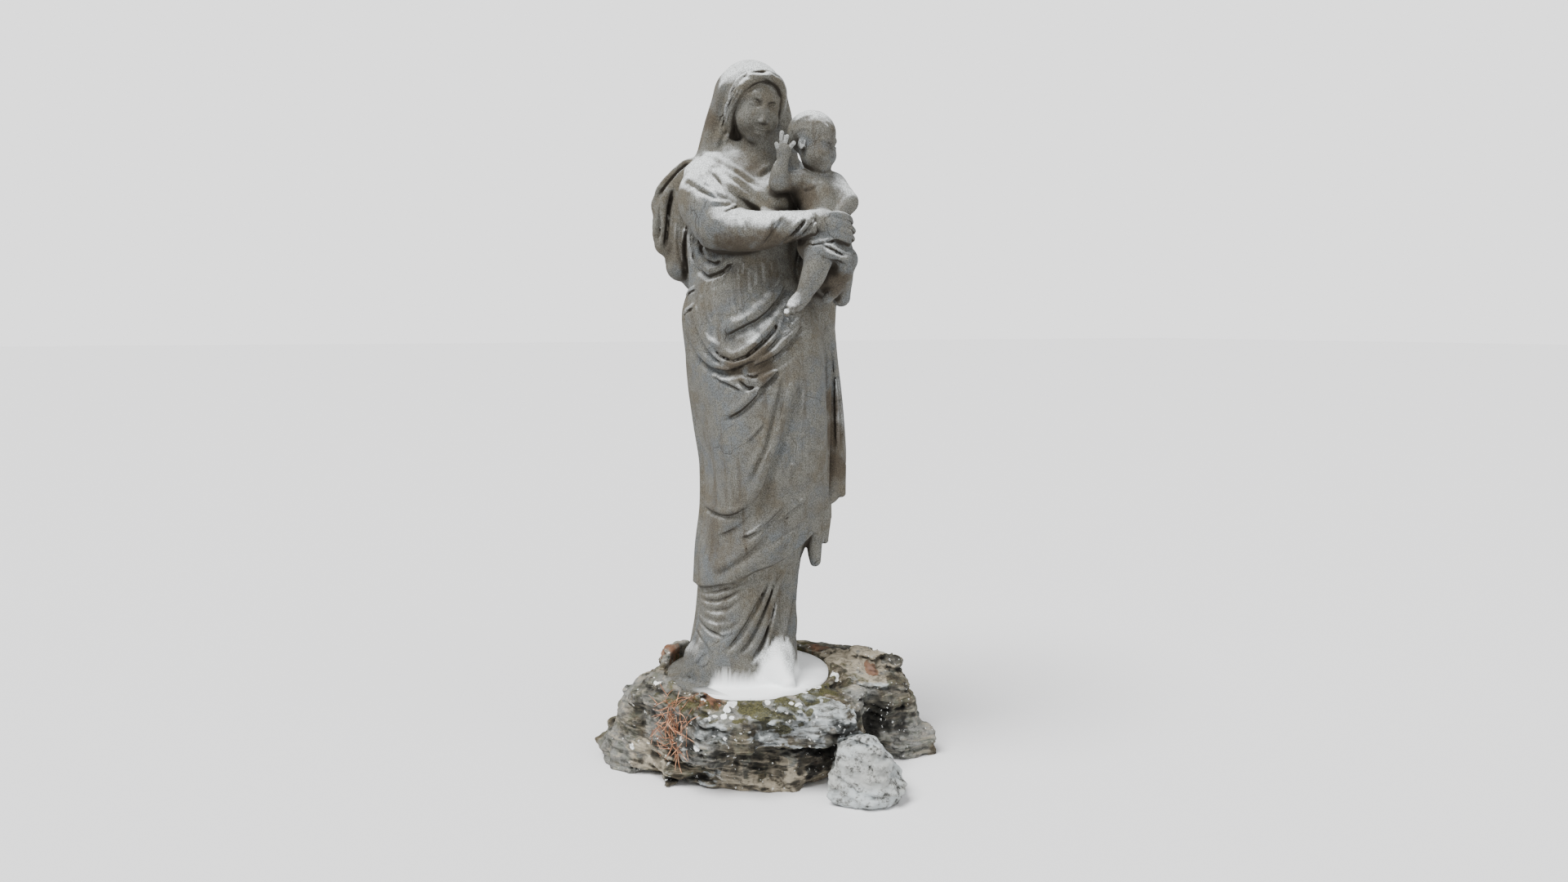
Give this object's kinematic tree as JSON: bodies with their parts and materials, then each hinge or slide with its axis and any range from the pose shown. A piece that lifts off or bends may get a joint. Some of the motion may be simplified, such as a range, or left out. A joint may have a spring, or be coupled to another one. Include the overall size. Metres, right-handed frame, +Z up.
{
  "type": "virgin and child statue",
  "caption": "Standing veiled woman in draped mantle holding a blessing child, cast with its round plinth and bedded in a natural rock outcrop.",
  "frame": {"origin": "on the ground directly below the centre of the round plinth", "axes": "+Z up; the figure faces -Y; +X is the figure's own left, the side on which it carries the child"},
  "size_m": [0.8044, 0.6654, 1.7326],
  "materials": {
    "figure": "weathered painted cast stone",
    "rock": "rough natural rock with moss and lichen",
    "boulder": "rough pale rock"
  },
  "bodies": {
    "root": {"virgin_and_child": "figure", "rock_base": "rock", "front_boulder": "boulder"}
  },
  "joints": []
}
